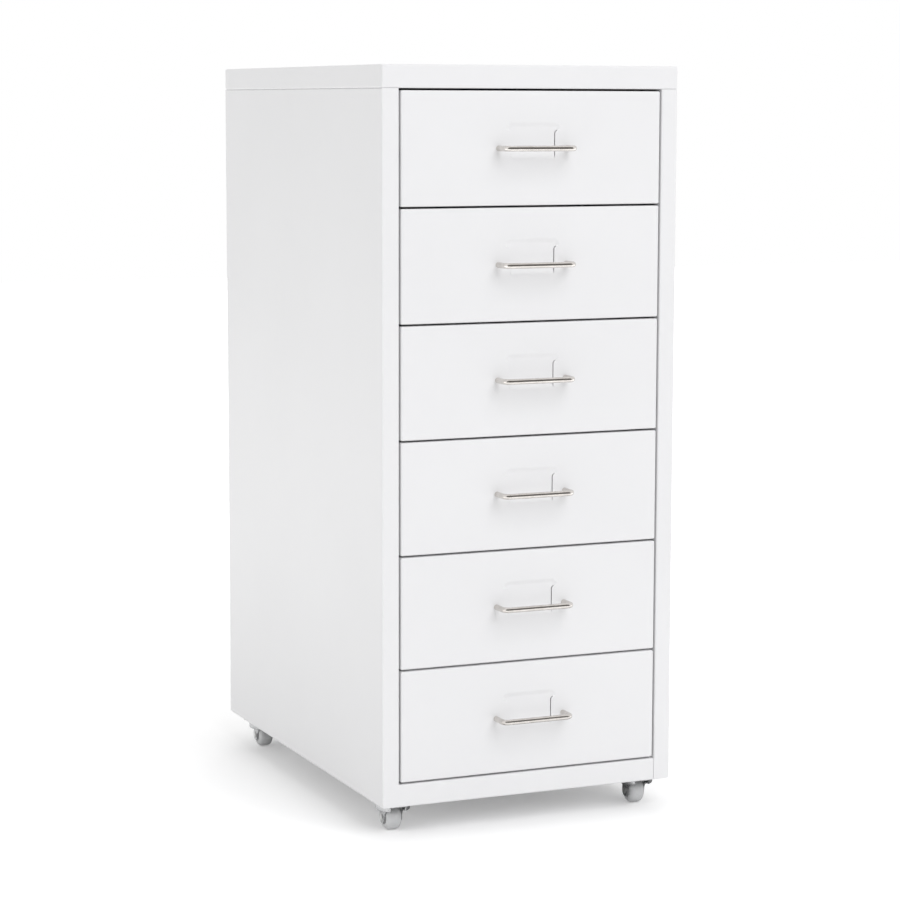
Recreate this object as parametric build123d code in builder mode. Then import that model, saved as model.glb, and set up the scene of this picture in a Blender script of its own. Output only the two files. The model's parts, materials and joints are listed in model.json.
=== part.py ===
from build123d import *
import os
from math import sqrt

# Steel cabinet of six shallow drawers on four small castors, folded from thin sheet.
# Frame: origin on the floor under the middle of the whole, +X right, +Y back, +Z up. Millimetres.

# Body of folded sheet
width = 280
depth = 410
body_height = 640
sheet = 0.8
bend = 1.4
fold_width = 12
skirt_height = 20
rail_height = 20
rail_setback = 0.6
rail_gap = 0.2
post_width = 15.5
post_lip = 12
panel_play = 0.3
overrun = 5

# Drawers, numbered from the top
drawer_count = 6
front_gap = 1.8
front_return = 12
rim_drop = 17
rim_width = 11.5
rim_lip = 6
rim_play = 1
rear_room = 36
hold_length = 56
box_notch = 0.5

# Runners: channels on the side skins, open towards the drawer
runner_sheet = 1
runner_setback = 3
runner_play = 1.2
ledge_play = 0.3
rim_headroom = 4
tab_play = 0.5
stop_play = 0.4
tab_inset = 2.5

# Label pocket: a shallow dish, with a flap left standing at each end to hold the card
pocket_width = 53
pocket_height = 31.6
pocket_corner = 6
pocket_depth = 1.1
pocket_rise = 6.8
pocket_slope = 71
pocket_soft = 2.5
pocket_room = 1
flap_length = 5.5
flap_height = 24.5
flap_round = 3
flap_slit = 0.3

# Wire handle and its screws
wire = 5
handle_reach = 20
handle_bend = 5
handle_margin = 6
handle_screw = 3
handle_screw_grip = 8

# Screws
screw_play = 0.1
head_share = 2
head_height = 1.6
head_edge = 0.4
panel_screw = 3.5
panel_screw_length = 6
back_screw_rows = 4
back_screw_end = 60
cap_screw_inset = 80
castor_screw = 3.2
castor_screw_length = 6

# Castors
wheel_diameter = 22.5
wheel_width = 14
wheel_round = 4.5
hub_diameter = 8
hub_recess = 1.2
rim_ring = 5.3
axle = 3
axle_head = 5.6
axle_head_height = 0.8
running_play = 0.05
cheek_play = 0.5
tread_gap = 1.4
fork_sheet = 1.2
fork_foot = 5.2
flare_round = 5
flare_flat = 0.4
leg_sweep = 5.5
crown_inner_round = 0.2
crown_flat = 2.8
race_height = 1
race_gap = 0.3
race_diameter = 22
race_bore = 14
plate_thickness = 1
plate_edge = 4
plate_corner = 4
plate_inset = 2.5
plate_play = 0.6
kingpin = 5
kingpin_head = 8
kingpin_head_height = 0.8
kingpin_play = 0.2
trail = 4
front_stem_setback = 27
rear_stem_setback = 46.5

# Levels and walls worked out from the sizes above
castor_height = wheel_diameter + tread_gap + fork_sheet + race_height + plate_thickness
body_bottom = castor_height
body_top = body_bottom + body_height
cap_bottom = body_top - skirt_height
shell_bottom = body_bottom + sheet
rail_top = body_bottom + rail_height
whole_depth = handle_reach + depth + head_height
front = handle_reach - whole_depth / 2
back = front + depth
middle = (front + back) / 2
skin = width / 2
opening = skin - post_width
rail_face = front + rail_setback
rail_half = opening - rail_gap

# Drawer sizes
front_height = (cap_bottom - rail_top - (drawer_count + 1) * front_gap) / drawer_count
front_half = opening - front_gap
rim_half = opening - rim_play
box_half = rim_half - rim_width
box_front = front + sheet
box_rear = back - sheet - rear_room
stop_tab = box_rear - hold_length
tab_height = rim_headroom - tab_play
handle_span = pocket_width + 2 * handle_margin
runner_front = front + front_return + runner_setback
runner_inner = box_half + runner_play

# Castor sizes
wheel_axis = wheel_diameter / 2
cheek = wheel_width / 2 + cheek_play
crown_round = crown_inner_round + fork_sheet
crown_radius = cheek + fork_sheet + flare_round + flare_flat + crown_round
crown_under = wheel_diameter + tread_gap
crown_top = crown_under + fork_sheet
crown_ledge = crown_top - 2 * crown_round - crown_flat
plate_under = body_bottom - plate_thickness
castor_head = castor_screw * head_share
screw_reach = (crown_radius + castor_head / 2 + plate_play) / sqrt(2)
plate_size = 2 * (screw_reach + plate_edge)
stem_side = skin - plate_size / 2 - plate_inset
stems = {
    "front_left": (-stem_side, front + front_stem_setback),
    "front_right": (stem_side, front + front_stem_setback),
    "rear_left": (-stem_side, back - rear_stem_setback),
    "rear_right": (stem_side, back - rear_stem_setback),
}

# Places of the fasteners
return_middle = skin - fold_width / 2
back_screw_step = (cap_bottom - shell_bottom - 2 * back_screw_end) / (back_screw_rows - 1)
back_screw_levels = [shell_bottom + back_screw_end + row * back_screw_step for row in range(back_screw_rows)]
back_screw_places = [(end * return_middle, level) for end in (-1, 1) for level in back_screw_levels]
cap_screw_places = [
    (end * return_middle, place)
    for end in (-1, 1)
    for place in (front + cap_screw_inset, back - cap_screw_inset)
]
castor_screw_places = [
    (x + across * screw_reach, y + along * screw_reach)
    for x, y in stems.values()
    for across in (-1, 1)
    for along in (-1, 1)
]


def upright(y):
    # Plane facing the front at depth y, with X to the right and Z up.
    return Plane.XZ.offset(-y)


def folded_section(*corners, thickness=sheet, side=Side.LEFT):
    # Section of a folded sheet: one face follows the corners, the thickness lies to one side.
    with BuildLine() as outline:
        FilletPolyline(*corners, radius=bend)
        offset(amount=thickness, side=side)
    make_face(outline.edges())


def pan_head_screw(seat, diameter, length):
    # Screw whose head lies on the seat plane and whose tip points along the plane's normal.
    head = diameter * head_share / 2
    half = Plane(seat.origin, x_dir=seat.x_dir, z_dir=seat.x_dir.cross(seat.z_dir))
    with BuildSketch(half) as profile:
        with BuildLine():
            Polyline((0, -head_height), (head - head_edge, -head_height), (head, head_edge - head_height))
            Polyline((head, head_edge - head_height), (head, 0), (diameter / 2, 0))
            Polyline((diameter / 2, 0), (diameter / 2, length - head_edge), (diameter / 2 - head_edge, length))
            Polyline((diameter / 2 - head_edge, length), (0, length), (0, -head_height))
        make_face()
    revolve(profile.sketch, axis=Axis(seat.origin, seat.z_dir))


def save(part, label):
    part.label = label
    export_step(part, f"parts/{label}.step")


def side_panel(label, end):
    # A pan folded inwards all round; its front return is the wide post with a lip of its own.
    with BuildPart() as panel:
        with BuildSketch(Plane.YZ.offset(end * skin)):
            with Locations(((front + back - sheet) / 2, (shell_bottom + cap_bottom) / 2)):
                Rectangle(depth - sheet, cap_bottom - shell_bottom)
        extrude(amount=-end * post_width)
        fillet(panel.faces().sort_by(Axis.X, reverse=end > 0)[0].edges(), radius=bend)
        offset(amount=-sheet, openings=panel.faces().sort_by(Axis.X, reverse=end > 0)[-1])
        # The other three returns are narrower than the post.
        with BuildSketch(Plane.YZ.offset(end * opening)):
            with Locations(((front + sheet + back) / 2, (shell_bottom + cap_bottom) / 2)):
                Rectangle(back - front - sheet, body_height)
        extrude(amount=end * (post_width - fold_width), mode=Mode.SUBTRACT)
        with BuildSketch(Plane.XY.offset(shell_bottom)):
            with Locations((end * (opening + sheet / 2), front + post_lip / 2)):
                Rectangle(sheet, post_lip)
        extrude(amount=cap_bottom - shell_bottom)
        post_edge = panel.edges().filter_by(Axis.Z).sort_by_distance((end * opening, front, body_bottom))[0]
        fillet(post_edge, radius=bend)
        # Beside the rail the post's edge stays square.
        with BuildSketch(Plane.XY.offset(shell_bottom)):
            with Locations((end * (opening + bend / 2), front + sheet / 2)):
                Rectangle(bend, sheet)
        extrude(amount=rail_top - shell_bottom)
        with BuildSketch(upright(back)):
            with Locations(*back_screw_places):
                Circle(panel_screw / 2 + screw_play)
        extrude(amount=overrun, mode=Mode.SUBTRACT)
        with BuildSketch(Plane.XY.offset(cap_bottom)):
            with Locations(*cap_screw_places):
                Circle(panel_screw / 2 + screw_play)
        extrude(amount=-overrun, mode=Mode.SUBTRACT)
        with BuildSketch(Plane.XY.offset(shell_bottom)):
            with Locations(*castor_screw_places):
                Circle(castor_screw / 2 + screw_play)
        extrude(amount=overrun, mode=Mode.SUBTRACT)
    save(panel.part, label)


def runner(label, end, floor):
    # Channel spot-welded to the side skin, with a stop bent down in front and a closed rear end.
    rim_top = floor + front_height - rim_drop
    ledge = rim_top - rim_lip - ledge_play
    ceiling = rim_top + rim_headroom
    wall = end * (skin - sheet)
    with BuildPart() as channel:
        with BuildSketch(upright(runner_front)):
            folded_section(
                (end * runner_inner, ledge - runner_sheet),
                (wall, ledge - runner_sheet),
                (wall, ceiling + runner_sheet),
                (end * runner_inner, ceiling + runner_sheet),
                thickness=runner_sheet,
                side=Side.LEFT if end > 0 else Side.RIGHT,
            )
        extrude(amount=-(box_rear + stop_play + runner_sheet - runner_front))
        with BuildSketch(upright(runner_front)):
            with Locations((end * (box_half + rim_half) / 2, ceiling - (rim_headroom - tab_play) / 2)):
                Rectangle(rim_width - 2 * tab_inset, rim_headroom - tab_play)
        extrude(amount=-runner_sheet)
        with BuildSketch(upright(box_rear + stop_play)):
            with Locations((end * (runner_inner + skin - sheet) / 2, (ledge + ceiling) / 2)):
                Rectangle(skin - sheet - runner_inner - bend, ceiling - ledge)
        extrude(amount=-runner_sheet)
    save(channel.part, label)


def drawer_front(label, floor):
    # Shallow pan with returns on all four edges and the label pocket pressed into its face.
    level = floor + front_height / 2
    pocket_level = level + pocket_rise
    pocket_foot = pocket_level - pocket_height / 2
    with BuildPart() as pan:
        with BuildSketch(upright(front)):
            with Locations((0, level)):
                Rectangle(2 * front_half, front_height)
        extrude(amount=-front_return)
        fillet(pan.faces().sort_by(Axis.Y)[0].edges(), radius=bend)
        offset(amount=-sheet, openings=pan.faces().sort_by(Axis.Y)[-1])
        for face, mode in ((box_front, Mode.ADD), (front, Mode.SUBTRACT)):
            with BuildSketch(upright(face)):
                with Locations((0, pocket_level)):
                    RectangleRounded(pocket_width, pocket_height, pocket_corner)
            extrude(amount=-pocket_depth, taper=pocket_slope, mode=mode)
        rim = pan.faces().sort_by(Axis.Y)[0].inner_wires()[0].edges()
        fillet(rim, radius=pocket_soft)
        dish = pan.faces().sort_by_distance((0, front + pocket_depth, pocket_level))[0]
        fillet(dish.edges(), radius=pocket_soft)
        for end in (-1, 1):
            corner = (end * pocket_width / 2, pocket_foot)
            with BuildSketch(upright(front)):
                with Locations(corner):
                    RectangleRounded(
                        2 * (flap_length + flap_slit), 2 * (flap_height + flap_slit), flap_round + flap_slit
                    )
                with Locations((0, pocket_level)):
                    RectangleRounded(pocket_width, pocket_height, pocket_corner, mode=Mode.INTERSECT)
            extrude(amount=-(pocket_depth + sheet), mode=Mode.SUBTRACT)
            with BuildSketch(upright(front)):
                with Locations(corner):
                    RectangleRounded(2 * flap_length, 2 * flap_height, flap_round)
            extrude(amount=-sheet)
        with BuildSketch(upright(box_front)):
            with Locations((-handle_span / 2, level), (handle_span / 2, level)):
                Circle(handle_screw / 2 + screw_play)
        extrude(amount=overrun, mode=Mode.SUBTRACT)
    save(pan.part, label)


def drawer_box(label, floor):
    # Tray folded from one sheet; its side rims turn out and down and carry lanced stop tabs.
    under = floor + bend
    rim_top = floor + front_height - rim_drop
    inner = box_half - sheet
    level = floor + front_height / 2
    with BuildPart() as box:
        with BuildSketch(upright(box_front)):
            folded_section(
                (-rim_half, rim_top - rim_lip),
                (-rim_half, rim_top),
                (-inner, rim_top),
                (-inner, under + sheet),
                (inner, under + sheet),
                (inner, rim_top),
                (rim_half, rim_top),
                (rim_half, rim_top - rim_lip),
                side=Side.RIGHT,
            )
        extrude(amount=-(box_rear - box_front))
        for wall in (box_front, box_rear - sheet):
            with BuildSketch(upright(wall)):
                with Locations((0, (under + sheet + rim_top) / 2)):
                    Rectangle(2 * inner, rim_top - under - sheet)
            extrude(amount=-sheet)
        # The rims stop short of the front's returns.
        with BuildSketch(upright(box_front)):
            for end in (-1, 1):
                with Locations((end * (box_half + rim_half) / 2, rim_top - rim_lip / 2)):
                    Rectangle(rim_half - box_half, rim_lip + overrun)
        extrude(amount=-(front_return - sheet + box_notch), mode=Mode.SUBTRACT)
        for end in (-1, 1):
            tab_middle = end * (box_half + rim_half) / 2
            with BuildSketch(upright(stop_tab)):
                with Locations((tab_middle, rim_top + tab_height / 2)):
                    Rectangle(rim_width - 2 * tab_inset, tab_height)
            extrude(amount=-sheet)
            with BuildSketch(Plane.XY.offset(rim_top - sheet)):
                with Locations((tab_middle, stop_tab + sheet + tab_height / 2)):
                    Rectangle(rim_width - 2 * tab_inset, tab_height)
            extrude(amount=sheet, mode=Mode.SUBTRACT)
        with BuildSketch(upright(box_front)):
            with Locations((-handle_span / 2, level), (handle_span / 2, level)):
                Circle(handle_screw / 2 + screw_play)
            with Locations((0, level + pocket_rise)):
                RectangleRounded(pocket_width + 2 * pocket_room, pocket_height + 2 * pocket_room, pocket_corner)
        extrude(amount=-overrun, mode=Mode.SUBTRACT)
    save(box.part, label)


def drawer_handle(label, floor):
    # Bow of round wire, its legs tapped for the screws.
    level = floor + front_height / 2
    leg = handle_span / 2
    bar = front - handle_reach + wire / 2
    with BuildPart() as bow:
        with BuildLine():
            FilletPolyline(
                (-leg, front, level),
                (-leg, bar, level),
                (leg, bar, level),
                (leg, front, level),
                radius=handle_bend,
            )
        with BuildSketch(upright(front)):
            with Locations((-leg, level)):
                Circle(wire / 2)
        sweep()
        with BuildSketch(upright(front)):
            with Locations((-leg, level), (leg, level)):
                Circle(handle_screw / 2 + screw_play)
        extrude(amount=handle_screw_grip + screw_play, mode=Mode.SUBTRACT)
    save(bow.part, label)


def handle_screws(label, floor):
    # Two screws from inside the box into the handle's legs.
    level = floor + front_height / 2
    with BuildPart() as screws:
        for end in (-1, 1):
            seat = Plane((end * handle_span / 2, box_front + sheet, level), x_dir=(1, 0, 0), z_dir=(0, -1, 0))
            pan_head_screw(seat, handle_screw, 2 * sheet + handle_screw_grip)
    save(screws.part, label)


def castor_plate(label, x, y):
    # Square plate with a ball race pressed down round the kingpin.
    with BuildPart() as plate:
        with BuildSketch(Plane((x, y, plate_under))):
            RectangleRounded(plate_size, plate_size, plate_corner)
            with GridLocations(2 * screw_reach, 2 * screw_reach, 2, 2):
                Circle(castor_screw / 2 + screw_play, mode=Mode.SUBTRACT)
            Circle(kingpin / 2 + running_play, mode=Mode.SUBTRACT)
        extrude(amount=plate_thickness)
        with BuildSketch(Plane((x, y, plate_under))):
            Circle(race_diameter / 2)
            Circle(race_bore / 2, mode=Mode.SUBTRACT)
        extrude(amount=race_gap - race_height)
    save(plate.part, label)


def castor_fork(label, x, y):
    # Pressed horn: its front view is a folded section, its legs sweep out to the crown as they rise.
    outer = cheek + fork_sheet
    leg = y + trail
    with BuildPart() as fork:
        with BuildSketch(upright(y + crown_radius)):
            with BuildLine():
                FilletPolyline(
                    (x - outer, wheel_axis - fork_foot),
                    (x - outer, crown_ledge),
                    (x - crown_radius, crown_ledge),
                    (x - crown_radius, crown_top),
                    (x + crown_radius, crown_top),
                    (x + crown_radius, crown_ledge),
                    (x + outer, crown_ledge),
                    (x + outer, wheel_axis - fork_foot),
                    radius=[flare_round, crown_round, crown_round, crown_round, crown_round, flare_round],
                )
                offset(amount=fork_sheet, side=Side.RIGHT)
            make_face()
        extrude(amount=2 * crown_radius)
        with BuildSketch(Plane.YZ.offset(x - crown_radius)):
            with BuildLine():
                for end in (-1, 1):
                    FilletPolyline(
                        (leg + end * fork_foot, wheel_axis),
                        (leg + end * fork_foot, crown_ledge),
                        (y + end * crown_radius, crown_ledge),
                        radius=leg_sweep,
                    )
                    Line((y + end * crown_radius, crown_ledge), (y + end * crown_radius, crown_top))
                Line((y - crown_radius, crown_top), (y + crown_radius, crown_top))
                ThreePointArc(
                    (leg - fork_foot, wheel_axis), (leg, wheel_axis - fork_foot), (leg + fork_foot, wheel_axis)
                )
            make_face()
            with Locations((leg, wheel_axis)):
                Circle(axle / 2 + running_play, mode=Mode.SUBTRACT)
        extrude(amount=2 * crown_radius, mode=Mode.INTERSECT)
        with BuildSketch(Plane((x, y, 0))):
            Circle(crown_radius)
            with Locations((0, trail)):
                Rectangle(2 * outer, 2 * fork_foot)
            Circle(kingpin / 2 + running_play, mode=Mode.SUBTRACT)
        extrude(amount=crown_top, mode=Mode.INTERSECT)
    save(fork.part, label)


def castor_axle(label, x, y):
    # Pin riveted over at both cheeks.
    half = cheek + fork_sheet
    with BuildPart() as pin:
        with BuildSketch(Plane((x, y + trail, wheel_axis), x_dir=(1, 0, 0), z_dir=(0, -1, 0))):
            with Locations((0, axle / 4)):
                Rectangle(2 * half, axle / 2)
            for end in (-1, 1):
                with Locations((end * (half + axle_head_height / 2), axle_head / 4)):
                    Rectangle(axle_head_height, axle_head / 2)
        revolve(axis=Axis((x, y + trail, wheel_axis), (1, 0, 0)))
    save(pin.part, label)


def castor_wheel(label, x, y):
    # Barrel wheel with a hub boss and a recessed web on each side.
    radius = wheel_diameter / 2
    bore = axle / 2 + running_play
    hub = hub_diameter / 2
    with BuildPart() as wheel:
        with BuildSketch(Plane((x, y + trail, wheel_axis), x_dir=(1, 0, 0), z_dir=(0, -1, 0))) as half:
            with Locations((0, (radius + bore) / 2)):
                Rectangle(wheel_width, radius - bore)
            for end in (-1, 1):
                with Locations((end * (wheel_width - hub_recess) / 2, (hub + radius - rim_ring) / 2)):
                    Rectangle(hub_recess, radius - rim_ring - hub, mode=Mode.SUBTRACT)
            fillet(half.vertices().group_by(Axis.Y)[-1], radius=wheel_round)
        revolve(axis=Axis((x, y + trail, wheel_axis), (1, 0, 0)))
    save(wheel.part, label)


os.makedirs("parts", exist_ok=True)

# Cap with skirts all round and hems that sit on the side panels
with BuildPart() as top_panel:
    with BuildSketch(Plane.XY.offset(cap_bottom)):
        with Locations((0, middle)):
            Rectangle(width, depth)
    extrude(amount=skirt_height)
    fillet(top_panel.edges(), radius=bend)
    with BuildSketch(Plane.XY.offset(cap_bottom + sheet)):
        with Locations((0, middle)):
            Rectangle(width - 2 * sheet, depth - 2 * sheet)
    extrude(amount=skirt_height - 2 * sheet, mode=Mode.SUBTRACT)
    with BuildSketch(Plane.XY.offset(cap_bottom)):
        with Locations((0, middle)):
            Rectangle(width - 2 * fold_width, depth - 2 * fold_width)
        with Locations(*cap_screw_places):
            Circle(panel_screw / 2 + screw_play)
    extrude(amount=sheet, mode=Mode.SUBTRACT)
save(top_panel.part, "top_panel")

side_panel("left_side_panel", -1)
side_panel("right_side_panel", 1)

with BuildPart() as back_panel:
    with BuildSketch(upright(back)):
        with Locations((0, (shell_bottom + cap_bottom) / 2)):
            Rectangle(width - 2 * panel_play, cap_bottom - shell_bottom - 2 * panel_play)
        with Locations(*back_screw_places):
            Circle(panel_screw / 2 + screw_play, mode=Mode.SUBTRACT)
    extrude(amount=sheet)
save(back_panel.part, "back_panel")

# Floor sheet, folded up behind and in front, where it is the rail set back between the posts
with BuildPart() as bottom_panel:
    with BuildSketch(Plane.YZ.offset(-rail_half)):
        folded_section(
            (rail_face + fold_width, rail_top),
            (rail_face, rail_top),
            (rail_face, body_bottom),
            (back - sheet, body_bottom),
            (back - sheet, rail_top),
        )
    extrude(amount=2 * rail_half)
    with BuildSketch(Plane.XY.offset(body_bottom)):
        with Locations((0, (rail_face + back - sheet) / 2)):
            Rectangle(width - 2 * bend, back - sheet - rail_face - 2 * bend)
    extrude(amount=sheet)
    with BuildSketch(Plane.XY.offset(body_bottom)):
        with Locations(*castor_screw_places):
            Circle(castor_screw / 2 + screw_play)
    extrude(amount=sheet, mode=Mode.SUBTRACT)
save(bottom_panel.part, "bottom_panel")

for number in range(1, drawer_count + 1):
    drawer_floor = cap_bottom - number * (front_gap + front_height)
    runner(f"runner_left_{number}", -1, drawer_floor)
    runner(f"runner_right_{number}", 1, drawer_floor)
    drawer_front(f"drawer_{number}_front", drawer_floor)
    drawer_box(f"drawer_{number}_box", drawer_floor)
    drawer_handle(f"drawer_{number}_handle", drawer_floor)
    handle_screws(f"drawer_{number}_handle_screws", drawer_floor)

for place, (stem_x, stem_y) in stems.items():
    castor_plate(f"castor_{place}_plate", stem_x, stem_y)
    castor_fork(f"castor_{place}_fork", stem_x, stem_y)
    castor_axle(f"castor_{place}_axle", stem_x, stem_y)
    castor_wheel(f"castor_{place}_wheel", stem_x, stem_y)

# Rivets that hold the forks under the plates
with BuildPart() as castor_kingpins:
    with BuildSketch(Plane.XY.offset(body_bottom)):
        with Locations(*stems.values()):
            Circle(kingpin / 2)
    extrude(amount=crown_under - kingpin_play - body_bottom)
    with BuildSketch(Plane.XY.offset(crown_under - kingpin_play)):
        with Locations(*stems.values()):
            Circle(kingpin_head / 2)
    extrude(amount=-kingpin_head_height)
save(castor_kingpins.part, "castor_kingpins")

with BuildPart() as castor_screws:
    for screw_x, screw_y in castor_screw_places:
        pan_head_screw(Plane((screw_x, screw_y, plate_under)), castor_screw, castor_screw_length)
save(castor_screws.part, "castor_screws")

with BuildPart() as panel_screws:
    for screw_x, screw_z in back_screw_places:
        behind = Plane((screw_x, back, screw_z), x_dir=(1, 0, 0), z_dir=(0, -1, 0))
        pan_head_screw(behind, panel_screw, panel_screw_length)
    for screw_x, screw_y in cap_screw_places:
        pan_head_screw(Plane((screw_x, screw_y, cap_bottom - sheet)), panel_screw, panel_screw_length)
save(panel_screws.part, "panel_screws")
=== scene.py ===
import bmesh
import bpy
import json
import math
import numpy as np
from mathutils import Matrix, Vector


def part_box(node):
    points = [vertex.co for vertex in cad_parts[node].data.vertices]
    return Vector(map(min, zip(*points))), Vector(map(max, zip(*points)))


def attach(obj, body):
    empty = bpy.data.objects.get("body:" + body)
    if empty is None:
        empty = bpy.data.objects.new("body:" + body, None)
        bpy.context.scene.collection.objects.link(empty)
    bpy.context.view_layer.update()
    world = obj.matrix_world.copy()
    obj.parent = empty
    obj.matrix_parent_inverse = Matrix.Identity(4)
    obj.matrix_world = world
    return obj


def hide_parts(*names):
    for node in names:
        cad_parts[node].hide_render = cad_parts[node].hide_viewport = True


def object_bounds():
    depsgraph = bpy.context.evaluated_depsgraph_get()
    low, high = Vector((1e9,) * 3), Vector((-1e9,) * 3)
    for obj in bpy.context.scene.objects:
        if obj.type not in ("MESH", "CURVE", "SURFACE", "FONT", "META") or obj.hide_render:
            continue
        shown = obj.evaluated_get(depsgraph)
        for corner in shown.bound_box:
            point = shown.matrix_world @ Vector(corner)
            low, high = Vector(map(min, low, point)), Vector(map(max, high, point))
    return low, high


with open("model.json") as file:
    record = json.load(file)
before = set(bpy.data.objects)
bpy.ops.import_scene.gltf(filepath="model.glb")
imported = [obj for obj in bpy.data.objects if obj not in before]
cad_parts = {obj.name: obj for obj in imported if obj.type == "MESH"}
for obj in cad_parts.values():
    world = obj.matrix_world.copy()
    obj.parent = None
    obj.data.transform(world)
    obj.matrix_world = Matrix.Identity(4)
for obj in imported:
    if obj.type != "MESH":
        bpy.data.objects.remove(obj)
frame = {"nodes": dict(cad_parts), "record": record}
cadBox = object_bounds()
nodes = frame["nodes"]
scene = bpy.context.scene
castorPlaces = ("front_left", "front_right", "rear_left", "rear_right")
drawerNumbers = range(1, 7)
weldGap = 2e-6  # points of a piece that lie nearer than this become one
print("frame loaded,", len(nodes), "nodes")


# meshes from arrays
def gridQuads(rows, cols, wrapRows=False, wrapCols=False):
    # corners of each square in a rows x cols grid of points that are numbered row by row
    r, c = np.meshgrid(np.arange(rows - 1 + wrapRows), np.arange(cols - 1 + wrapCols), indexing="ij")
    nextR, nextC = (r + 1) % rows, (c + 1) % cols
    quads = np.stack([r * cols + c, r * cols + nextC, nextR * cols + nextC, nextR * cols + c], axis=-1)
    return quads.reshape(-1, 4)


def addPiece(name, patches, body, slot, node, sharpDeg=40.0):
    # joins (points, quads) patches into one mesh, welds shared edges, turns faces outward
    counts = np.cumsum([0] + [len(points) for points, quads in patches])
    points = np.concatenate([points for points, quads in patches])
    quads = np.concatenate([quads + start for (p, quads), start in zip(patches, counts)])
    mesh = bpy.data.meshes.new(name)
    mesh.from_pydata(points, [], quads.tolist())
    bm = bmesh.new()
    bm.from_mesh(mesh)
    bmesh.ops.remove_doubles(bm, verts=bm.verts, dist=weldGap)
    bmesh.ops.recalc_face_normals(bm, faces=bm.faces)
    bm.to_mesh(mesh)
    bm.free()
    mesh.shade_smooth()
    mesh.set_sharp_from_angle(angle=math.radians(sharpDeg))
    mesh.materials.append(finishes[slot])
    piece = bpy.data.objects.new(name, mesh)
    scene.collection.objects.link(piece)
    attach(piece, body)
    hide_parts(node)
    return piece


def fullTurn(sides):
    return np.linspace(0, 2 * math.pi, sides, endpoint=False)


def quarterTurn(count):
    return np.linspace(0, math.pi / 2, count)


def roundedOutline(corners, radii, arcPoints):
    # closed outline: each corner is an arc of its own radius tangent to both runs
    # arc(s) = centre + (sin((1-s)t) a + sin(s t) b) / sin t, with a, b the spokes to its two ends
    pts = np.array(corners, float)
    radii = np.array(radii, float)[:, None]
    before, after = np.roll(pts, 1, 0) - pts, np.roll(pts, -1, 0) - pts
    before /= np.linalg.norm(before, axis=1, keepdims=True)
    after /= np.linalg.norm(after, axis=1, keepdims=True)
    half = np.arccos(np.clip((before * after).sum(1, keepdims=True), -1, 1)) / 2
    mid = (before + after) / np.linalg.norm(before + after, axis=1, keepdims=True)
    centre = pts + mid * radii / np.sin(half)
    spokeA = pts + before * radii / np.tan(half) - centre
    spokeB = pts + after * radii / np.tan(half) - centre
    turn = (math.pi - 2 * half)[:, None]
    s = np.linspace(0, 1, arcPoints)[None, :, None]
    arc = np.sin((1 - s) * turn) * spokeA[:, None] + np.sin(s * turn) * spokeB[:, None]
    return (centre[:, None] + arc / np.sin(turn)).reshape(-1, 2)


def softRamp(t, soft):
    # 0 to 1 in a straight line with rounded ends: clip(t, 0, 1) averaged over t - soft .. t + soft
    def area(u):
        return np.where(u < 1, np.maximum(u, 0) ** 2 / 2, u - 0.5)
    return (area(t + soft) - area(t - soft)) / (2 * soft)


def smoothStep(t):
    # 6t^5 - 15t^4 + 10t^3, flat at both ends
    t = np.clip(t, 0, 1)
    return t * t * t * (t * (6 * t - 15) + 10)


# shader groups
patternSet = {  # scale, detail and roughness of each noise; the dimples get their scale from the material
    "dimples": (2.0, 0.45),
    "drift": (6.0, 3.0, 0.55),
    "speck": (2600.0, 1.0, 0.5),
    "lines": (1.0, 4.0, 0.6),
    "patch": (160.0, 4.0, 0.6),
}
rampEnds = (0.3, 0.7)  # nearly all values of a noise lie between these


def newGroup(name, inputs, outputs):
    group = bpy.data.node_groups.new(name, "ShaderNodeTree")
    for label, kind, value in inputs:
        group.interface.new_socket(label, in_out="INPUT", socket_type=kind).default_value = value
    for label, kind in outputs:
        group.interface.new_socket(label, in_out="OUTPUT", socket_type=kind)
    return group, group.nodes.new("NodeGroupInput"), group.nodes.new("NodeGroupOutput")


def wire(tree, source, target):
    tree.links.new(source, target)


def mapRange(tree, value, low, high, fromLow=0.0, fromHigh=1.0):
    node = tree.nodes.new("ShaderNodeMapRange")
    node.inputs["From Min"].default_value = fromLow
    node.inputs["From Max"].default_value = fromHigh
    node.inputs["To Min"].default_value = low
    node.inputs["To Max"].default_value = high
    wire(tree, value, node.inputs["Value"])
    return node.outputs["Result"]


def noise(tree, vector, scale, detail, rough):
    node = tree.nodes.new("ShaderNodeTexNoise")
    node.inputs["Detail"].default_value = detail
    node.inputs["Roughness"].default_value = rough
    if isinstance(scale, float):
        node.inputs["Scale"].default_value = scale
    else:
        wire(tree, scale, node.inputs["Scale"])
    wire(tree, vector, node.inputs["Vector"])
    return node.outputs["Fac"]


def orangePeelGroup():
    # fine dimples of a baked powder coat, and a slow drift of tone over the sheet
    group, given, put = newGroup(
        "orangePeel",
        [("Vector", "NodeSocketVector", (0, 0, 0)), ("Dimple Scale", "NodeSocketFloat", 900.0)],
        [("Height", "NodeSocketFloat"), ("Drift", "NodeSocketFloat"), ("Speck", "NodeSocketFloat")],
    )
    vector = given.outputs["Vector"]
    dimples = noise(group, vector, given.outputs["Dimple Scale"], *patternSet["dimples"])
    wire(group, dimples, put.inputs["Height"])
    wire(group, noise(group, vector, *patternSet["drift"]), put.inputs["Drift"])
    wire(group, noise(group, vector, *patternSet["speck"]), put.inputs["Speck"])
    return group


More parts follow.
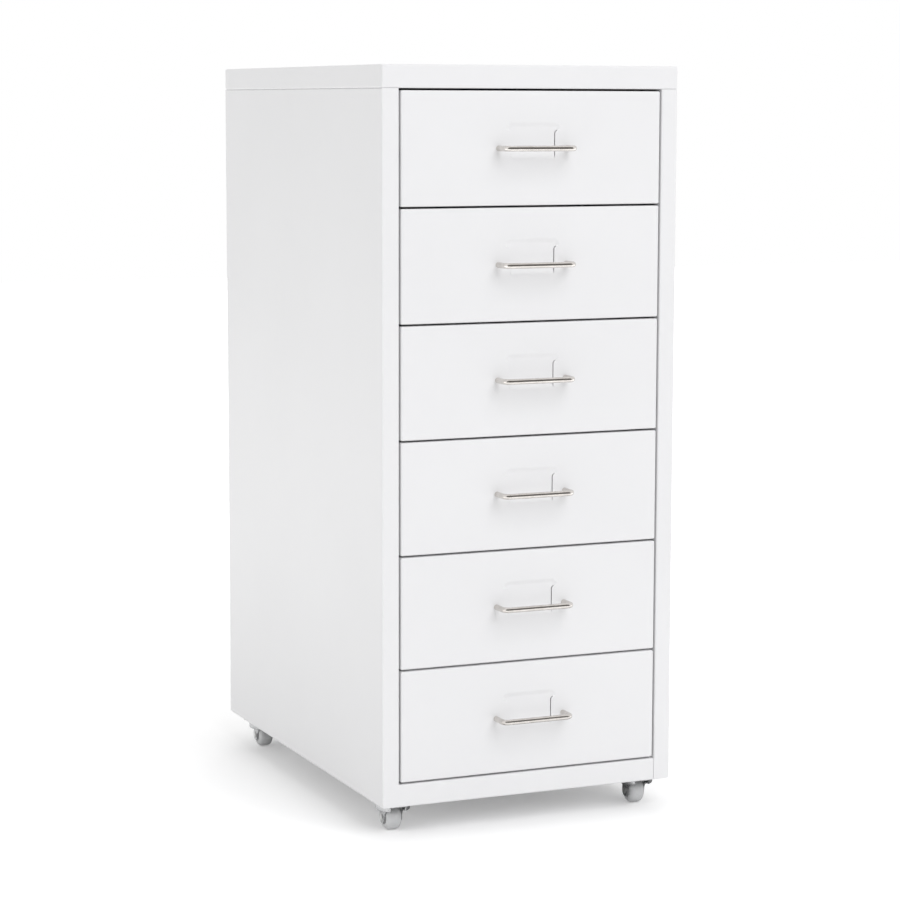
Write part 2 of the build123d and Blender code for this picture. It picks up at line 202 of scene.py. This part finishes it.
def drawnMetalGroup():
    # drawing lines: noise squeezed along one axis, plus patches of dulled plating
    group, given, put = newGroup(
        "drawnMetal",
        [("Vector", "NodeSocketVector", (0, 0, 0)), ("Stretch", "NodeSocketVector", (1, 1, 1))],
        [("Lines", "NodeSocketFloat"), ("Patch", "NodeSocketFloat")],
    )
    squeeze = group.nodes.new("ShaderNodeVectorMath")
    squeeze.operation = "MULTIPLY"
    wire(group, given.outputs["Vector"], squeeze.inputs[0])
    wire(group, given.outputs["Stretch"], squeeze.inputs[1])
    wire(group, noise(group, squeeze.outputs["Vector"], *patternSet["lines"]), put.inputs["Lines"])
    wire(group, noise(group, given.outputs["Vector"], *patternSet["patch"]), put.inputs["Patch"])
    return group


peelGroup, drawnGroup = orangePeelGroup(), drawnMetalGroup()


# finishes
finishSet = {  # colours at the ends of the tone, range of roughness, bump as strength and distance
    "powder_coat": {
        "name": "whitePowderCoat",
        "sockets": {"IOR": 1.5},
        "low": (0.862, 0.862, 0.868),
        "high": (0.880, 0.880, 0.886),
        "rough": (0.34, 0.5),
        "bump": (0.12, 0.0002),
        "dimple": 900.0,
    },
    "handle_plating": {
        "name": "nickelWire",
        "sockets": {"Metallic": 1.0},
        "low": (0.60, 0.57, 0.54),
        "high": (0.74, 0.71, 0.68),
        "rough": (0.08, 0.24),
        "stretch": (60.0, 4000.0, 4000.0),
    },
    "wheel_plastic": {
        "name": "greyWheelPlastic",
        "sockets": {"IOR": 1.46},
        "low": (0.65, 0.655, 0.66),
        "high": (0.74, 0.745, 0.75),
        "rough": (0.38, 0.58),
        "bump": (0.15, 0.0001),
        "stretch": (500.0, 500.0, 500.0),
    },
    "castor_steel": {
        "name": "zincSteel",
        "sockets": {"Metallic": 0.9},
        "low": (0.46, 0.465, 0.47),
        "high": (0.60, 0.605, 0.61),
        "rough": (0.2, 0.34),
        "bump": (0.1, 0.0001),
        "stretch": (900.0, 900.0, 300.0),
    },
    "screw_zinc": {
        "name": "brightZinc",
        "sockets": {"Metallic": 0.9},
        "low": (0.55, 0.555, 0.55),
        "high": (0.70, 0.70, 0.69),
        "rough": (0.25, 0.45),
        "bump": (0.1, 0.0001),
        "stretch": (900.0, 900.0, 300.0),
    },
}


def newMaterial(name, sockets):
    material = bpy.data.materials.new(name)
    material.use_nodes = True
    tree = material.node_tree
    bsdf = tree.nodes["Principled BSDF"]
    for label, value in sockets.items():
        bsdf.inputs[label].default_value = value
    place = tree.nodes.new("ShaderNodeTexCoord").outputs["Object"]
    return material, tree, bsdf, place


def useGroup(tree, group, place):
    node = tree.nodes.new("ShaderNodeGroup")
    node.node_tree = group
    wire(tree, place, node.inputs["Vector"])
    return node


def rampColour(tree, value, low, high):
    ramp = tree.nodes.new("ShaderNodeValToRGB")
    for end, position, colour in zip(ramp.color_ramp.elements, rampEnds, (low, high)):
        end.position = position
        end.color = (*colour, 1)
    wire(tree, value, ramp.inputs["Fac"])
    return ramp.outputs["Color"]


def addBump(tree, bsdf, height, strength, distance):
    bump = tree.nodes.new("ShaderNodeBump")
    bump.inputs["Strength"].default_value = strength
    bump.inputs["Distance"].default_value = distance
    wire(tree, height, bump.inputs["Height"])
    wire(tree, bump.outputs["Normal"], bsdf.inputs["Normal"])


def dressSurface(tree, bsdf, opts, tone, gloss, height):
    wire(tree, rampColour(tree, tone, opts["low"], opts["high"]), bsdf.inputs["Base Color"])
    wire(tree, mapRange(tree, gloss, *opts["rough"]), bsdf.inputs["Roughness"])
    if "bump" in opts:
        addBump(tree, bsdf, height, *opts["bump"])


def powderCoat(opts):
    material, tree, bsdf, place = newMaterial(opts["name"], opts["sockets"])
    peel = useGroup(tree, peelGroup, place)
    peel.inputs["Dimple Scale"].default_value = opts["dimple"]
    dressSurface(tree, bsdf, opts, peel.outputs["Drift"], peel.outputs["Speck"], peel.outputs["Height"])
    return material


def drawnFinish(opts):
    material, tree, bsdf, place = newMaterial(opts["name"], opts["sockets"])
    drawn = useGroup(tree, drawnGroup, place)
    drawn.inputs["Stretch"].default_value = opts["stretch"]
    lines = drawn.outputs["Lines"]
    dressSurface(tree, bsdf, opts, drawn.outputs["Patch"], lines, lines)
    return material


finishes = {"powder_coat": powderCoat(finishSet["powder_coat"])}
for slot in ("handle_plating", "wheel_plastic", "castor_steel", "screw_zinc"):
    finishes[slot] = drawnFinish(finishSet[slot])
for row in frame["record"]["subparts"]:
    nodes[row["node"]].data.materials.clear()
    nodes[row["node"]].data.materials.append(finishes[row["material_slot"]])
print("finishes on every node")


# drawer fronts
drawerFrontSet = {
    "fold": 0.0014,  # outer radius of the folded edges
    "sheet": 0.0008,
    "pocket": (0.053, 0.0316),
    "pocketCorner": 0.006,
    "pocketDepth": 0.0011,
    "pocketRise": 0.0068,  # pocket's middle above the front's middle
    "pocketSlope": 0.0032,  # run of the soft slope round the dish
    "pocketSoft": 0.2,  # share of the slope that is rounded at each end
    "flapLength": 0.0055,
    "flapHeight": 0.0245,
    "flapRound": 0.003,
    "flapFade": 1.5,  # how far past the flap's corner grid lines bend, in corner radii
    "slit": 0.0003,
    "slitHook": 0.0012,  # reach of the slit round the flap's corner
    "slitFoot": 0.0015,  # from the pocket's foot to the slit
    "meshStep": 0.0006,  # spacing of the grid over the pocket
    "plainLines": 12,  # grid lines from the pocket to each edge
    "foldPoints": 6,
    "cornerPoints": 7,
    "edgeRound": 0.00015,
}


def dishDepth(x, z, opts):
    # depth * softRamp(-d / slope), d the signed distance to a rounded rectangle
    qx = np.abs(x) - opts["pocket"][0] / 2 + opts["pocketCorner"]
    qz = np.abs(z - opts["pocketRise"]) - opts["pocket"][1] / 2 + opts["pocketCorner"]
    outside = np.hypot(np.maximum(qx, 0), np.maximum(qz, 0))
    distance = outside + np.minimum(np.maximum(qx, qz), 0) - opts["pocketCorner"]
    soft = opts["pocketSoft"]
    return opts["pocketDepth"] * softRamp(-distance / opts["pocketSlope"] - soft, soft)


def gradedLines(low, high, fineLow, fineHigh, exact, opts):
    # lines across the face: close together over the pocket, with lines exactly where the sheet is cut
    step, plain = opts["meshStep"], opts["plainLines"]
    fine = np.linspace(fineLow, fineHigh, int((fineHigh - fineLow) / step) + 1)
    before, after = np.linspace(low, fineLow, plain), np.linspace(fineHigh, high, plain)
    lines = np.concatenate([before[:-1], fine, after[1:]])
    clear = np.min(np.abs(lines[:, None] - np.array(exact)), axis=1) > step / 2
    return np.sort(np.concatenate([lines[clear], exact]))


def roundFlapCorner(x, z, cornerX, cornerZ, opts):
    # bends a right-angled corner of grid lines to a quarter circle, square to disc:
    # (a, b) -> (a sqrt(1 - b^2 / 2), b sqrt(1 - a^2 / 2)), fading out past the corner
    radius = opts["flapRound"]
    a = (cornerX + radius - np.abs(x)) / radius
    b = (z - cornerZ + radius) / radius
    ca, cb = np.clip(a, 0, 1), np.clip(b, 0, 1)
    fade = 1 - smoothStep((np.maximum(a, b) - 1) / opts["flapFade"])
    fade = np.where((a > 0) & (b > 0), fade, 0)
    shiftX = ca * (np.sqrt(1 - cb * cb / 2) - 1) * fade * radius
    shiftZ = cb * (np.sqrt(1 - ca * ca / 2) - 1) * fade * radius
    return x - np.sign(x) * shiftX, z + shiftZ


def foldedRim(cols, rows, face, back, level, opts):
    # once round the face, with a fan of directions at each corner, and straight back after the fold:
    # point(s, t) = edge(s) + fold (sin t outward(s) + (1 - cos t) backward), t a quarter turn
    fan, bow = quarterTurn(opts["cornerPoints"]), quarterTurn(opts["foldPoints"])
    sides = [
        (cols, np.full_like(cols, rows[0]), -math.pi / 2),
        (np.full_like(rows, cols[-1]), rows, 0.0),
        (cols[::-1], np.full_like(cols, rows[-1]), math.pi / 2),
        (np.full_like(rows, cols[0]), rows[::-1], math.pi),
    ]
    ringX = np.concatenate([np.r_[sx, np.full_like(fan, sx[-1])] for sx, sz, a in sides])
    ringZ = np.concatenate([np.r_[sz, np.full_like(fan, sz[-1])] for sx, sz, a in sides])
    ringA = np.concatenate([np.r_[np.full_like(sx, a), a + fan] for sx, sz, a in sides])
    out = np.r_[opts["fold"] * np.sin(bow), opts["fold"]]
    depth = np.r_[opts["fold"] * (1 - np.cos(bow)), back - face]
    rim = np.stack([
        ringX[:, None] + np.cos(ringA)[:, None] * out,
        np.broadcast_to(face + depth, (len(ringX), len(depth))),
        level + ringZ[:, None] + np.sin(ringA)[:, None] * out,
    ], axis=-1)
    return rim.reshape(-1, 3), gridQuads(len(ringX), len(depth), wrapRows=True)


def drawerFrontPatches(low, high, opts):
    # face: a grid (x, z) sunk by dishDepth, level on the flaps and open at the slits; then the folded rim
    half, tall = (high.x - low.x) / 2, (high.z - low.z) / 2
    level, face = (high.z + low.z) / 2, low.y
    flatX, flatZ = half - opts["fold"], tall - opts["fold"]
    pocketX, pocketZ = opts["pocket"][0] / 2, opts["pocket"][1] / 2
    foot, top = opts["pocketRise"] - pocketZ, opts["pocketRise"] + pocketZ
    flapX, flapZ = pocketX - opts["flapLength"], foot + opts["flapHeight"]
    slitX, slitZ = flapX - opts["slit"], flapZ + opts["slit"]
    cutX = [-pocketX, -flapX, -slitX, slitX, flapX, pocketX]
    margin = 2 * opts["meshStep"]
    cols = gradedLines(-flatX, flatX, -pocketX - margin, pocketX + margin, cutX, opts)
    rows = gradedLines(-flatZ, flatZ, foot - margin, top + margin, [foot, flapZ, slitZ], opts)
    z, x = np.meshgrid(rows, cols, indexing="ij")
    bentX, bentZ = roundFlapCorner(x, z, flapX, flapZ, opts)
    tiny = opts["slit"] / 10
    onFlap = (np.abs(x) > flapX - tiny) & (z < flapZ + tiny)
    y = face + np.where(onFlap, 0, dishDepth(bentX, bentZ, opts))
    points = np.stack([bentX, y, bentZ + level], axis=-1).reshape(-1, 3)
    quads = gridQuads(len(rows), len(cols))
    midX, midZ = x.reshape(-1)[quads].mean(1), z.reshape(-1)[quads].mean(1)
    slitTop = np.where(midX > 0, slitZ, flapZ - opts["flapRound"])  # the left slit ends below the corner
    midX = np.abs(midX)
    inFrame = (midX > slitX) & (midX < flapX + opts["slitHook"])
    inFrame &= (midZ > foot + opts["slitFoot"]) & (midZ < slitTop)
    inSlit = inFrame & ((midX < flapX) | (midZ > flapZ))
    return [(points, quads[~inSlit]), foldedRim(cols, rows, face, high.y, level, opts)]


def faceOut(piece, probe, outward):
    # recalculated normals of an open shell can point either way: the face nearest the probe tells
    faces = piece.data.polygons
    centres, normals = np.zeros((2, len(faces), 3), np.float32)
    faces.foreach_get("center", centres.ravel())
    faces.foreach_get("normal", normals.ravel())
    nearest = np.linalg.norm(centres - probe, axis=1).argmin()
    if normals[nearest] @ outward < 0:
        piece.data.flip_normals()


def sheetFinish(piece, thickness, edgeRound, segments=2, edgeDeg=50.0):
    solid = piece.modifiers.new("sheet", "SOLIDIFY")
    solid.thickness = thickness
    solid.offset = -1
    soft = piece.modifiers.new("edge", "BEVEL")
    soft.width = edgeRound
    soft.segments = segments
    soft.limit_method = "ANGLE"
    soft.angle_limit = math.radians(edgeDeg)
    soft.harden_normals = True


for number in drawerNumbers:
    node = f"drawer_{number}_front"
    low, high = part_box(node)
    patches = drawerFrontPatches(low, high, drawerFrontSet)
    piece = addPiece(f"front_{number}", patches, f"drawer_{number}", "powder_coat", node)
    faceOut(piece, low, (0, -1, 0))
    sheetFinish(piece, drawerFrontSet["sheet"], drawerFrontSet["edgeRound"])
print("drawer fronts pressed")


# wire handles
handleSet = {
    "bend": 0.005,  # radius of the wire's middle line in the bends
    "sides": 40,
    "legPoints": 6,
    "bendPoints": 16,
    "barPoints": 12,
}


def handlePatch(low, high, opts):
    # tube: ring(phi) = c(s) + r (cos phi n(s) + sin phi z), c two legs, two quarter bends and the bar
    radius = (high.z - low.z) / 2
    leg, bar, foot = high.x - radius, low.y + radius, high.y
    bend, level = opts["bend"], (low.z + high.z) / 2
    turn = np.linspace(math.pi, 1.5 * math.pi, opts["bendPoints"])[1:]
    legY = np.linspace(foot, bar + bend, opts["legPoints"])
    leftX = np.r_[np.full_like(legY, -leg), -leg + bend + bend * np.cos(turn)]
    leftY = np.r_[legY, bar + bend + bend * np.sin(turn)]
    barX = np.linspace(-leg + bend, leg - bend, opts["barPoints"])[1:-1]
    x = np.r_[leftX, barX, -leftX[::-1]]
    y = np.r_[leftY, np.full_like(barX, bar), leftY[::-1]]
    tx, ty = np.gradient(x), np.gradient(y)
    norm = np.hypot(tx, ty)
    size = np.pad(np.full_like(x, radius), 1)  # a ring of no size closes each foot
    x, y, nx, ny = [np.pad(row, 1, mode="edge") for row in (x, y, -ty / norm, tx / norm)]
    phi = fullTurn(opts["sides"])
    across = size[:, None] * np.cos(phi)
    ring = np.stack([
        x[:, None] + across * nx[:, None],
        y[:, None] + across * ny[:, None],
        level + size[:, None] * np.sin(phi),
    ], axis=-1)
    return ring.reshape(-1, 3), gridQuads(len(x), opts["sides"], wrapCols=True)


for number in drawerNumbers:
    node = f"drawer_{number}_handle"
    patch = handlePatch(*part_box(node), handleSet)
    addPiece(f"handle_{number}", [patch], f"drawer_{number}", "handle_plating", node)
print("handles bent")


# castor wheels
wheelSet = {
    "hub": 0.004,
    "bore": 0.00155,
    "recess": 0.0012,
    "ring": 0.0053,  # from the recess to the tread
    "tread": 0.0045,  # radius of the tread's shoulders
    "edgeRound": 0.0003,
    "arcPoints": 7,
    "sides": 96,
}


def lathePatch(outline, centre, sides):
    # point(s, phi) = centre + a(s) X + r(s) (cos phi Y + sin phi Z), the outline (a, r) is closed
    phi = fullTurn(sides)
    along = np.broadcast_to(outline[:, 0][:, None], (len(outline), sides))
    ring = np.stack([
        centre[0] + along,
        centre[1] + outline[:, 1][:, None] * np.cos(phi),
        centre[2] + outline[:, 1][:, None] * np.sin(phi),
    ], axis=-1)
    return ring.reshape(-1, 3), gridQuads(len(outline), sides, wrapRows=True, wrapCols=True)


def wheelOutline(low, high, opts):
    # corners (a, r) from the bore over hub, web and rim to the tread, then the same mirrored
    half, radius = (high.x - low.x) / 2, (high.z - low.z) / 2
    web, rim = half - opts["recess"], radius - opts["ring"]
    inner = [(half, opts["bore"]), (half, opts["hub"]), (web, opts["hub"]), (web, rim), (half, rim)]
    right = inner + [(half, radius)]
    left = [(-a, r) for a, r in right[::-1]]
    radii = [opts["edgeRound"]] * len(inner) + [opts["tread"]]
    return roundedOutline(right + left, radii + radii[::-1], opts["arcPoints"])


for place in castorPlaces:
    node = f"castor_{place}_wheel"
    low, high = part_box(node)
    patch = lathePatch(wheelOutline(low, high, wheelSet), (low + high) / 2, wheelSet["sides"])
    addPiece(f"wheel_{place}", [patch], f"wheel_{place}", "wheel_plastic", node)
print("wheels turned")


# castor forks
forkSet = {
    "sheet": 0.0012,
    "cheek": 0.0087,  # outer face of a leg, from the fork's middle
    "foot": 0.0052,  # radius of the leg's round end about the axle
    "trail": 0.004,  # axle behind the stem
    "bore": 0.00255,  # hole for the kingpin
    "flareFoot": 0.001,  # where the flare starts above the axle
    "rim": 0.0014,  # outer radius of the skirt's two bends
    "skirt": 0.0056,  # from the crown's top to the flare
    "sectorDeg": 62.0,  # half of each side's share of the skirt
    "sidePoints": 41,
    "gapPoints": 13,
    "discRings": 6,
    "bendRings": 9,
    "flareRings": 25,
    "edgeRound": 0.00015,
}


def forkPatch(low, high, opts):
    # a ring with a bent lip round the stem; in the two side sectors the lip goes on as a skirt, then as
    # leg + (rim - leg)(1 - sin q) at the height foot + tall cos q, a hollow flare, to a flat round leg
    reach, axle = (high.x - low.x) / 2, low.z + opts["foot"]
    stemX, stemY, top = (low.x + high.x) / 2, low.y + reach, high.z
    half = math.radians(opts["sectorDeg"])
    side = np.linspace(-half, half, opts["sidePoints"])
    gap = np.linspace(half, math.pi - half, opts["gapPoints"])[1:-1]
    phi = np.r_[side, gap, side + math.pi, gap + math.pi]
    lean = np.r_[side, 0 * gap + half, -side, 0 * gap - half] / half  # -1 at a leg's front, 1 at its rear
    rim, flat = opts["rim"], reach - opts["rim"]
    ledge, flareFoot = top - opts["skirt"], axle + opts["flareFoot"]
    # crown: flat ring, lip bent down, skirt bent in
    disc = np.linspace(opts["bore"], flat, opts["discRings"])[:, None]
    down = quarterTurn(opts["bendRings"])[1:, None]
    inward = down - down[0]
    crownR = np.concatenate([disc, flat + rim * np.sin(down), flat + rim * np.cos(inward)])
    lipZ, skirtZ = top - rim + rim * np.cos(down), ledge + rim - rim * np.sin(inward)
    crownZ = np.concatenate([0 * disc + top, lipZ, skirtZ])
    # flare from the skirt to the leg, and the leg's round end
    flare = quarterTurn(opts["flareRings"])[:, None]
    rimX, rimY = flat * np.cos(phi), flat * np.sin(phi)
    legX, legY = opts["cheek"] * np.sign(np.cos(phi)), opts["trail"] + opts["foot"] * lean
    mix = 1 - np.sin(flare)
    flareZ = flareFoot + (ledge - flareFoot) * np.cos(flare)
    footY, footZ = opts["trail"] + opts["foot"] * lean * np.cos(down), axle - opts["foot"] * np.sin(down)
    x = np.concatenate([crownR * np.cos(phi), legX + (rimX - legX) * mix, 0 * down + legX])
    y = np.concatenate([crownR * np.sin(phi), legY + (rimY - legY) * mix, footY])
    z = np.broadcast_to(np.concatenate([crownZ, flareZ, footZ]), x.shape)
    points = np.stack([stemX + x, stemY + y, z], axis=-1).reshape(-1, 3)
    quads = gridQuads(*x.shape, wrapCols=True)
    row, col = np.divmod(np.arange(len(quads)), len(phi))
    onCrown = row < len(disc) + len(down) - 1
    onSide = col % (len(side) + len(gap)) < len(side) - 1
    return points, quads[onCrown | onSide]


for place in castorPlaces:
    node = f"castor_{place}_fork"
    low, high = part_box(node)
    patch = forkPatch(low, high, forkSet)
    piece = addPiece(f"flared_fork_{place}", [patch], f"fork_{place}", "castor_steel", node)
    faceOut(piece, high, (0, 0, 1))
    sheetFinish(piece, forkSet["sheet"], forkSet["edgeRound"])
print("forks pressed")


# screws with a cross recess
screwSet = {
    "headShare": 2.0,  # head diameter over shank diameter
    "headHeight": 0.0016,
    "dome": 0.3,  # drop of the dome at its edge, as a share of the head's height
    "arm": 0.6,  # reach of the recess, as a share of the head's radius
    "slot": 0.26,  # width of its arms, as a share of the head's radius
    "soft": 0.08,  # run of its walls, as a share of the head's radius
    "sink": 0.6,  # depth of the recess, as a share of the head's height
    "domeRings": 18,
    "sides": 48,
    "sharpDeg": 30.0,
    "panelShank": 0.0035,
    "panelLength": 0.006,
    "panelSheet": 0.0008,
    "foldWidth": 0.012,  # of the panels' folded edges, which take the screws in their middle
    "backRows": 4,
    "backEnd": 0.06,  # from the ends of the side panels
    "capInset": 0.08,  # from the front and back of the cap
    "castorShank": 0.0032,
    "castorLength": 0.006,
    "plateEdge": 0.004,  # from the edges of a castor's plate
    "handleShank": 0.003,
}


def screwPatch(seat, axis, shank, length, opts):
    # point(s, phi) = seat + r(s) (cos phi u + sin phi v) + (h(s) - sink cross(r, phi)) axis,
    # cross = 1 where a point lies within one of the two slots and within their reach
    axis = np.array(axis, float)
    u = np.array((1.0, 0.0, 0.0))
    v = np.cross(axis, u)
    head, tall = shank * opts["headShare"] / 2, opts["headHeight"]
    dome = np.linspace(0, 1, opts["domeRings"])
    r = np.r_[head * dome, head, shank / 2, shank / 2, 0][:, None]
    h = np.r_[tall * (1 - opts["dome"] * dome**2), 0, 0, -length, -length][:, None]
    phi = fullTurn(opts["sides"])
    across, along = np.abs(r * np.cos(phi)), np.abs(r * np.sin(phi))
    soft = opts["soft"] * head
    inSlot = smoothStep((opts["slot"] * head / 2 - np.minimum(across, along)) / soft + 0.5)
    inReach = smoothStep((opts["arm"] * head - np.maximum(across, along)) / soft + 0.5)
    sunk = h - opts["sink"] * tall * inSlot * inReach * (h > 0)
    point = np.array(seat) + (r * np.cos(phi))[..., None] * u + (r * np.sin(phi))[..., None] * v
    point = point + sunk[..., None] * axis
    return point.reshape(-1, 3), gridQuads(len(r), opts["sides"], wrapCols=True)


def backScrewSeats(opts):
    low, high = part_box("left_side_panel")
    wallBack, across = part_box("back_panel")[1].y, -low.x - opts["foldWidth"] / 2
    levels = np.linspace(low.z + opts["backEnd"], high.z - opts["backEnd"], opts["backRows"])
    return [(end * across, wallBack, level) for end in (-1, 1) for level in levels]


def capScrewSeats(opts):
    low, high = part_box("top_panel")
    across = high.x - opts["foldWidth"] / 2
    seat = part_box("left_side_panel")[1].z - opts["panelSheet"]
    ends = (low.y + opts["capInset"], high.y - opts["capInset"])
    return [(end * across, y, seat) for end in (-1, 1) for y in ends]


def castorScrewSeats(opts):
    edge, seats = opts["plateEdge"], []
    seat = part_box("castor_screws")[0].z + opts["headHeight"]
    for place in castorPlaces:
        low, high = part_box(f"castor_{place}_plate")
        ends = (low.y + edge, high.y - edge)
        seats += [(x, y, seat) for x in (low.x + edge, high.x - edge) for y in ends]
    return seats


def handleScrewSeats(node, opts):
    low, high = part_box(node)
    reach = opts["handleShank"] * opts["headShare"] / 2
    seat, level = high.y - opts["headHeight"], (low.z + high.z) / 2
    return [(low.x + reach, seat, level), (high.x - reach, seat, level)], seat - low.y


def addScrews(node, body, patches):
    addPiece(f"crossed_{node}", patches, body, "screw_zinc", node, screwSet["sharpDeg"])


under, behind = (0, 0, -1), (0, 1, 0)  # which way the heads point
panelPatches = [
    screwPatch(seat, axis, screwSet["panelShank"], screwSet["panelLength"], screwSet)
    for axis, seats in ((behind, backScrewSeats(screwSet)), (under, capScrewSeats(screwSet)))
    for seat in seats
]
addScrews("panel_screws", "cabinet", panelPatches)
castorPatches = [
    screwPatch(seat, under, screwSet["castorShank"], screwSet["castorLength"], screwSet)
    for seat in castorScrewSeats(screwSet)
]
addScrews("castor_screws", "cabinet", castorPatches)
for number in drawerNumbers:
    node = f"drawer_{number}_handle_screws"
    seats, length = handleScrewSeats(node, screwSet)
    patches = [screwPatch(seat, behind, screwSet["handleShank"], length, screwSet) for seat in seats]
    addScrews(node, f"drawer_{number}", patches)
print("screws set")


# studio
studioSet = {
    "ambient": 0.6,
    "floorHalf": 7.0,
    "floorShade": (0.9, 0.9, 0.9, 1),
    "floorGlow": (0.22, 1.0),  # what the camera sees added near the cabinet and far from it
    "floorFade": (0.2, 1.3),  # distances from the middle where the glow starts to grow and is full
    "cardAcross": (-3.6, 3.4),  # dark room behind the camera, seen only in gloss
    "cardAlong": (-3.3, -1.3),
    "cardHeight": (0.005, 5.0),
    "cardShade": (0.22, 0.21, 0.2, 1),
    "paintedShadowAcross": (-0.13, 0.3),  # painted shadow under the cabinet: a dark patch seen only in gloss, so the castors' plating shows the cabinet's shade on the floor
    "paintedShadowAlong": (-0.22, 0.2),
    "paintedShadowHeight": 0.0025,
    # colour of the painted shadow patch under the cabinet
    "paintedShadowShade": (0.28, 0.28, 0.28, 1),
}
lampSet = {
    "keyLight": {"place": (1.0, -4.4, 4.0), "size": 4.0, "power": 140.0, "colour": (0.98, 0.98, 1.0)},
    "fillLight": {"place": (-2.8, -0.3, 0.9), "size": 2.0, "power": 10.5, "colour": (1.0, 0.995, 0.985)},
    "rearLight": {"place": (1.0, 4.0, 3.2), "size": 3.0, "power": 45.0, "colour": (1.0, 1.0, 1.0)},
}
cameraSet = {
    "place": (-0.9821, -2.2868, 0.6337),
    "yaw": 0.4084,  # from +Y towards +X
    "pitch": -0.1289,
    "roll": 0.0023,
    "lens": 106.71,
    "sensor": 36.0,
    "clipEnd": 100.0,
}
white = (1, 1, 1, 1)


def seenDirectly(tree):
    # 1 for camera, glossy and transmission rays
    path = tree.nodes.new("ShaderNodeLightPath")
    first = tree.nodes.new("ShaderNodeMath")
    second = tree.nodes.new("ShaderNodeMath")
    for node in (first, second):
        node.operation = "MAXIMUM"
    wire(tree, path.outputs["Is Camera Ray"], first.inputs[0])
    wire(tree, path.outputs["Is Glossy Ray"], first.inputs[1])
    wire(tree, first.outputs[0], second.inputs[0])
    wire(tree, path.outputs["Is Transmission Ray"], second.inputs[1])
    return second.outputs[0]


def makeWorld(opts):
    # white to the eye and in gloss, a weaker light on everything
    world = bpy.data.worlds.new("paleRoom")
    scene.world = world
    world.use_nodes = True
    tree = world.node_tree
    plain = tree.nodes["Background"]
    plain.inputs["Color"].default_value = white
    wire(tree, mapRange(tree, seenDirectly(tree), opts["ambient"], 1.0), plain.inputs["Strength"])


def flatCard(name, corners, material):
    mesh = bpy.data.meshes.new(name)
    mesh.from_pydata(corners, [], [(0, 1, 2, 3)])
    mesh.materials.append(material)
    card = bpy.data.objects.new(name, mesh)
    scene.collection.objects.link(card)
    return card


def levelCorners(across, along, height):
    (left, right), (front, rear) = across, along
    return [(left, front, height), (right, front, height), (right, rear, height), (left, rear, height)]


def makeFloor(opts):
    # matt floor that keeps the shadow; to the eye it fades to the white of the room
    matt = {"Base Color": opts["floorShade"], "Roughness": 0.9, "Specular IOR Level": 0.0}
    material, tree, bsdf, place = newMaterial("paleFloor", {**matt, "Emission Color": white})
    away = tree.nodes.new("ShaderNodeVectorMath")
    away.operation = "LENGTH"
    wire(tree, place, away.inputs[0])
    glow = tree.nodes.new("ShaderNodeMath")
    glow.operation = "MULTIPLY"
    faded = mapRange(tree, away.outputs["Value"], *opts["floorGlow"], *opts["floorFade"])
    wire(tree, faded, glow.inputs[0])
    wire(tree, seenDirectly(tree), glow.inputs[1])
    wire(tree, glow.outputs[0], bsdf.inputs["Emission Strength"])
    span = (-opts["floorHalf"], opts["floorHalf"])
    flatCard("floor", levelCorners(span, span, 0), material)


def makeDarkCards(opts):
    # wall and floor of the room behind the camera leave the dark line in plated wire; the patch under the
    # cabinet is painted shadow for the castors' plating, also seen only in gloss
    (left, right), (low, high), far = opts["cardAcross"], opts["cardHeight"], opts["cardAlong"][0]
    wall = [(left, far, low), (left, far, high), (right, far, high), (right, far, low)]
    ground = levelCorners(opts["cardAcross"], opts["cardAlong"], low)
    # painted shadow: a dark patch under the cabinet, seen only in reflections
    patch = levelCorners(opts["paintedShadowAcross"], opts["paintedShadowAlong"], opts["paintedShadowHeight"])
    cards = [
        ("darkWall", wall, opts["cardShade"]),
        ("darkGround", ground, opts["cardShade"]),
        ("paintedShadowPatch", patch, opts["paintedShadowShade"]),
    ]
    for name, corners, shade in cards:
        material = newMaterial(name, {"Base Color": shade, "Roughness": 1.0})[0]
        card = flatCard(name, corners, material)
        card.visible_camera = False
        card.visible_diffuse = False
        card.visible_transmission = False
        card.visible_shadow = False


def softBox(name, target, opts):
    light = bpy.data.lights.new(name, "AREA")
    light.shape = "SQUARE"
    light.size = opts["size"]
    light.energy = opts["power"]
    light.color = opts["colour"]
    lamp = bpy.data.objects.new(name, light)
    scene.collection.objects.link(lamp)
    lamp.location = opts["place"]
    lamp.visible_glossy = False  # plating shows the room, not the lamp
    lamp.rotation_euler = (target - lamp.location).to_track_quat("-Z", "Y").to_euler()


def makeCamera(opts):
    data = bpy.data.cameras.new("camera")
    data.sensor_width = opts["sensor"]
    data.lens = opts["lens"]
    data.clip_end = opts["clipEnd"]
    yaw, pitch, roll = opts["yaw"], opts["pitch"], opts["roll"]
    ahead = np.array([math.sin(yaw) * math.cos(pitch), math.cos(yaw) * math.cos(pitch), math.sin(pitch)])
    right = np.array([math.cos(yaw), -math.sin(yaw), 0.0])
    up = np.cross(right, ahead)
    rolledRight = math.cos(roll) * right + math.sin(roll) * up
    rolledUp = math.cos(roll) * up - math.sin(roll) * right
    turned = Matrix(np.stack([rolledRight, rolledUp, -ahead], axis=1).tolist())
    camera = bpy.data.objects.new("camera", data)
    scene.collection.objects.link(camera)
    camera.matrix_world = Matrix.Translation(opts["place"]) @ turned.to_4x4()
    scene.camera = camera


makeWorld(studioSet)
makeFloor(studioSet)
makeDarkCards(studioSet)
middle = (cadBox[0] + cadBox[1]) / 2
for name, opts in lampSet.items():
    softBox(name, middle, opts)
makeCamera(cameraSet)
scene.view_settings.view_transform = "Standard"
print("studio lit")
